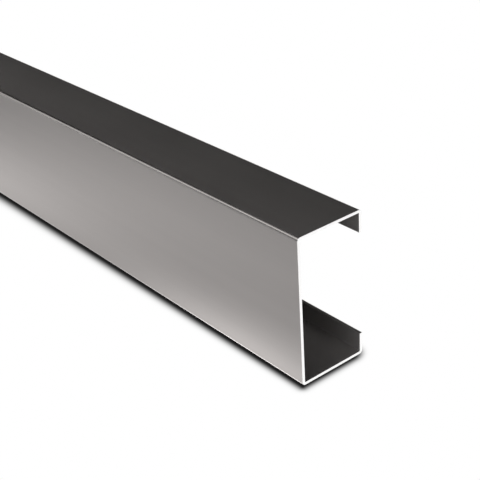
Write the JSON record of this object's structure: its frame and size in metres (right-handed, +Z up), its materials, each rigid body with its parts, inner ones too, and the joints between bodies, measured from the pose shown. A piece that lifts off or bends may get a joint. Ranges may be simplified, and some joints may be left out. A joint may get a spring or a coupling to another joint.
{
  "type": "lipped channel section",
  "caption": "Straight length of cold-formed lipped C channel in bare steel sheet, with a web, two flanges and inturned lips, cut square at both ends.",
  "frame": {"origin": "centre of the footprint, on the floor that the lower flange rests on", "axes": "+X along the length, -Y out of the back of the web, +Y out of the open side, +Z up through the top flange"},
  "size_m": [1, 0.05, 0.1],
  "materials": {
    "satin_steel": "satin cold-rolled sheet, bare, with fine lines along its length; bright sawn ends"
  },
  "bodies": {
    "root": {"lipped_channel": "satin_steel"}
  },
  "joints": []
}
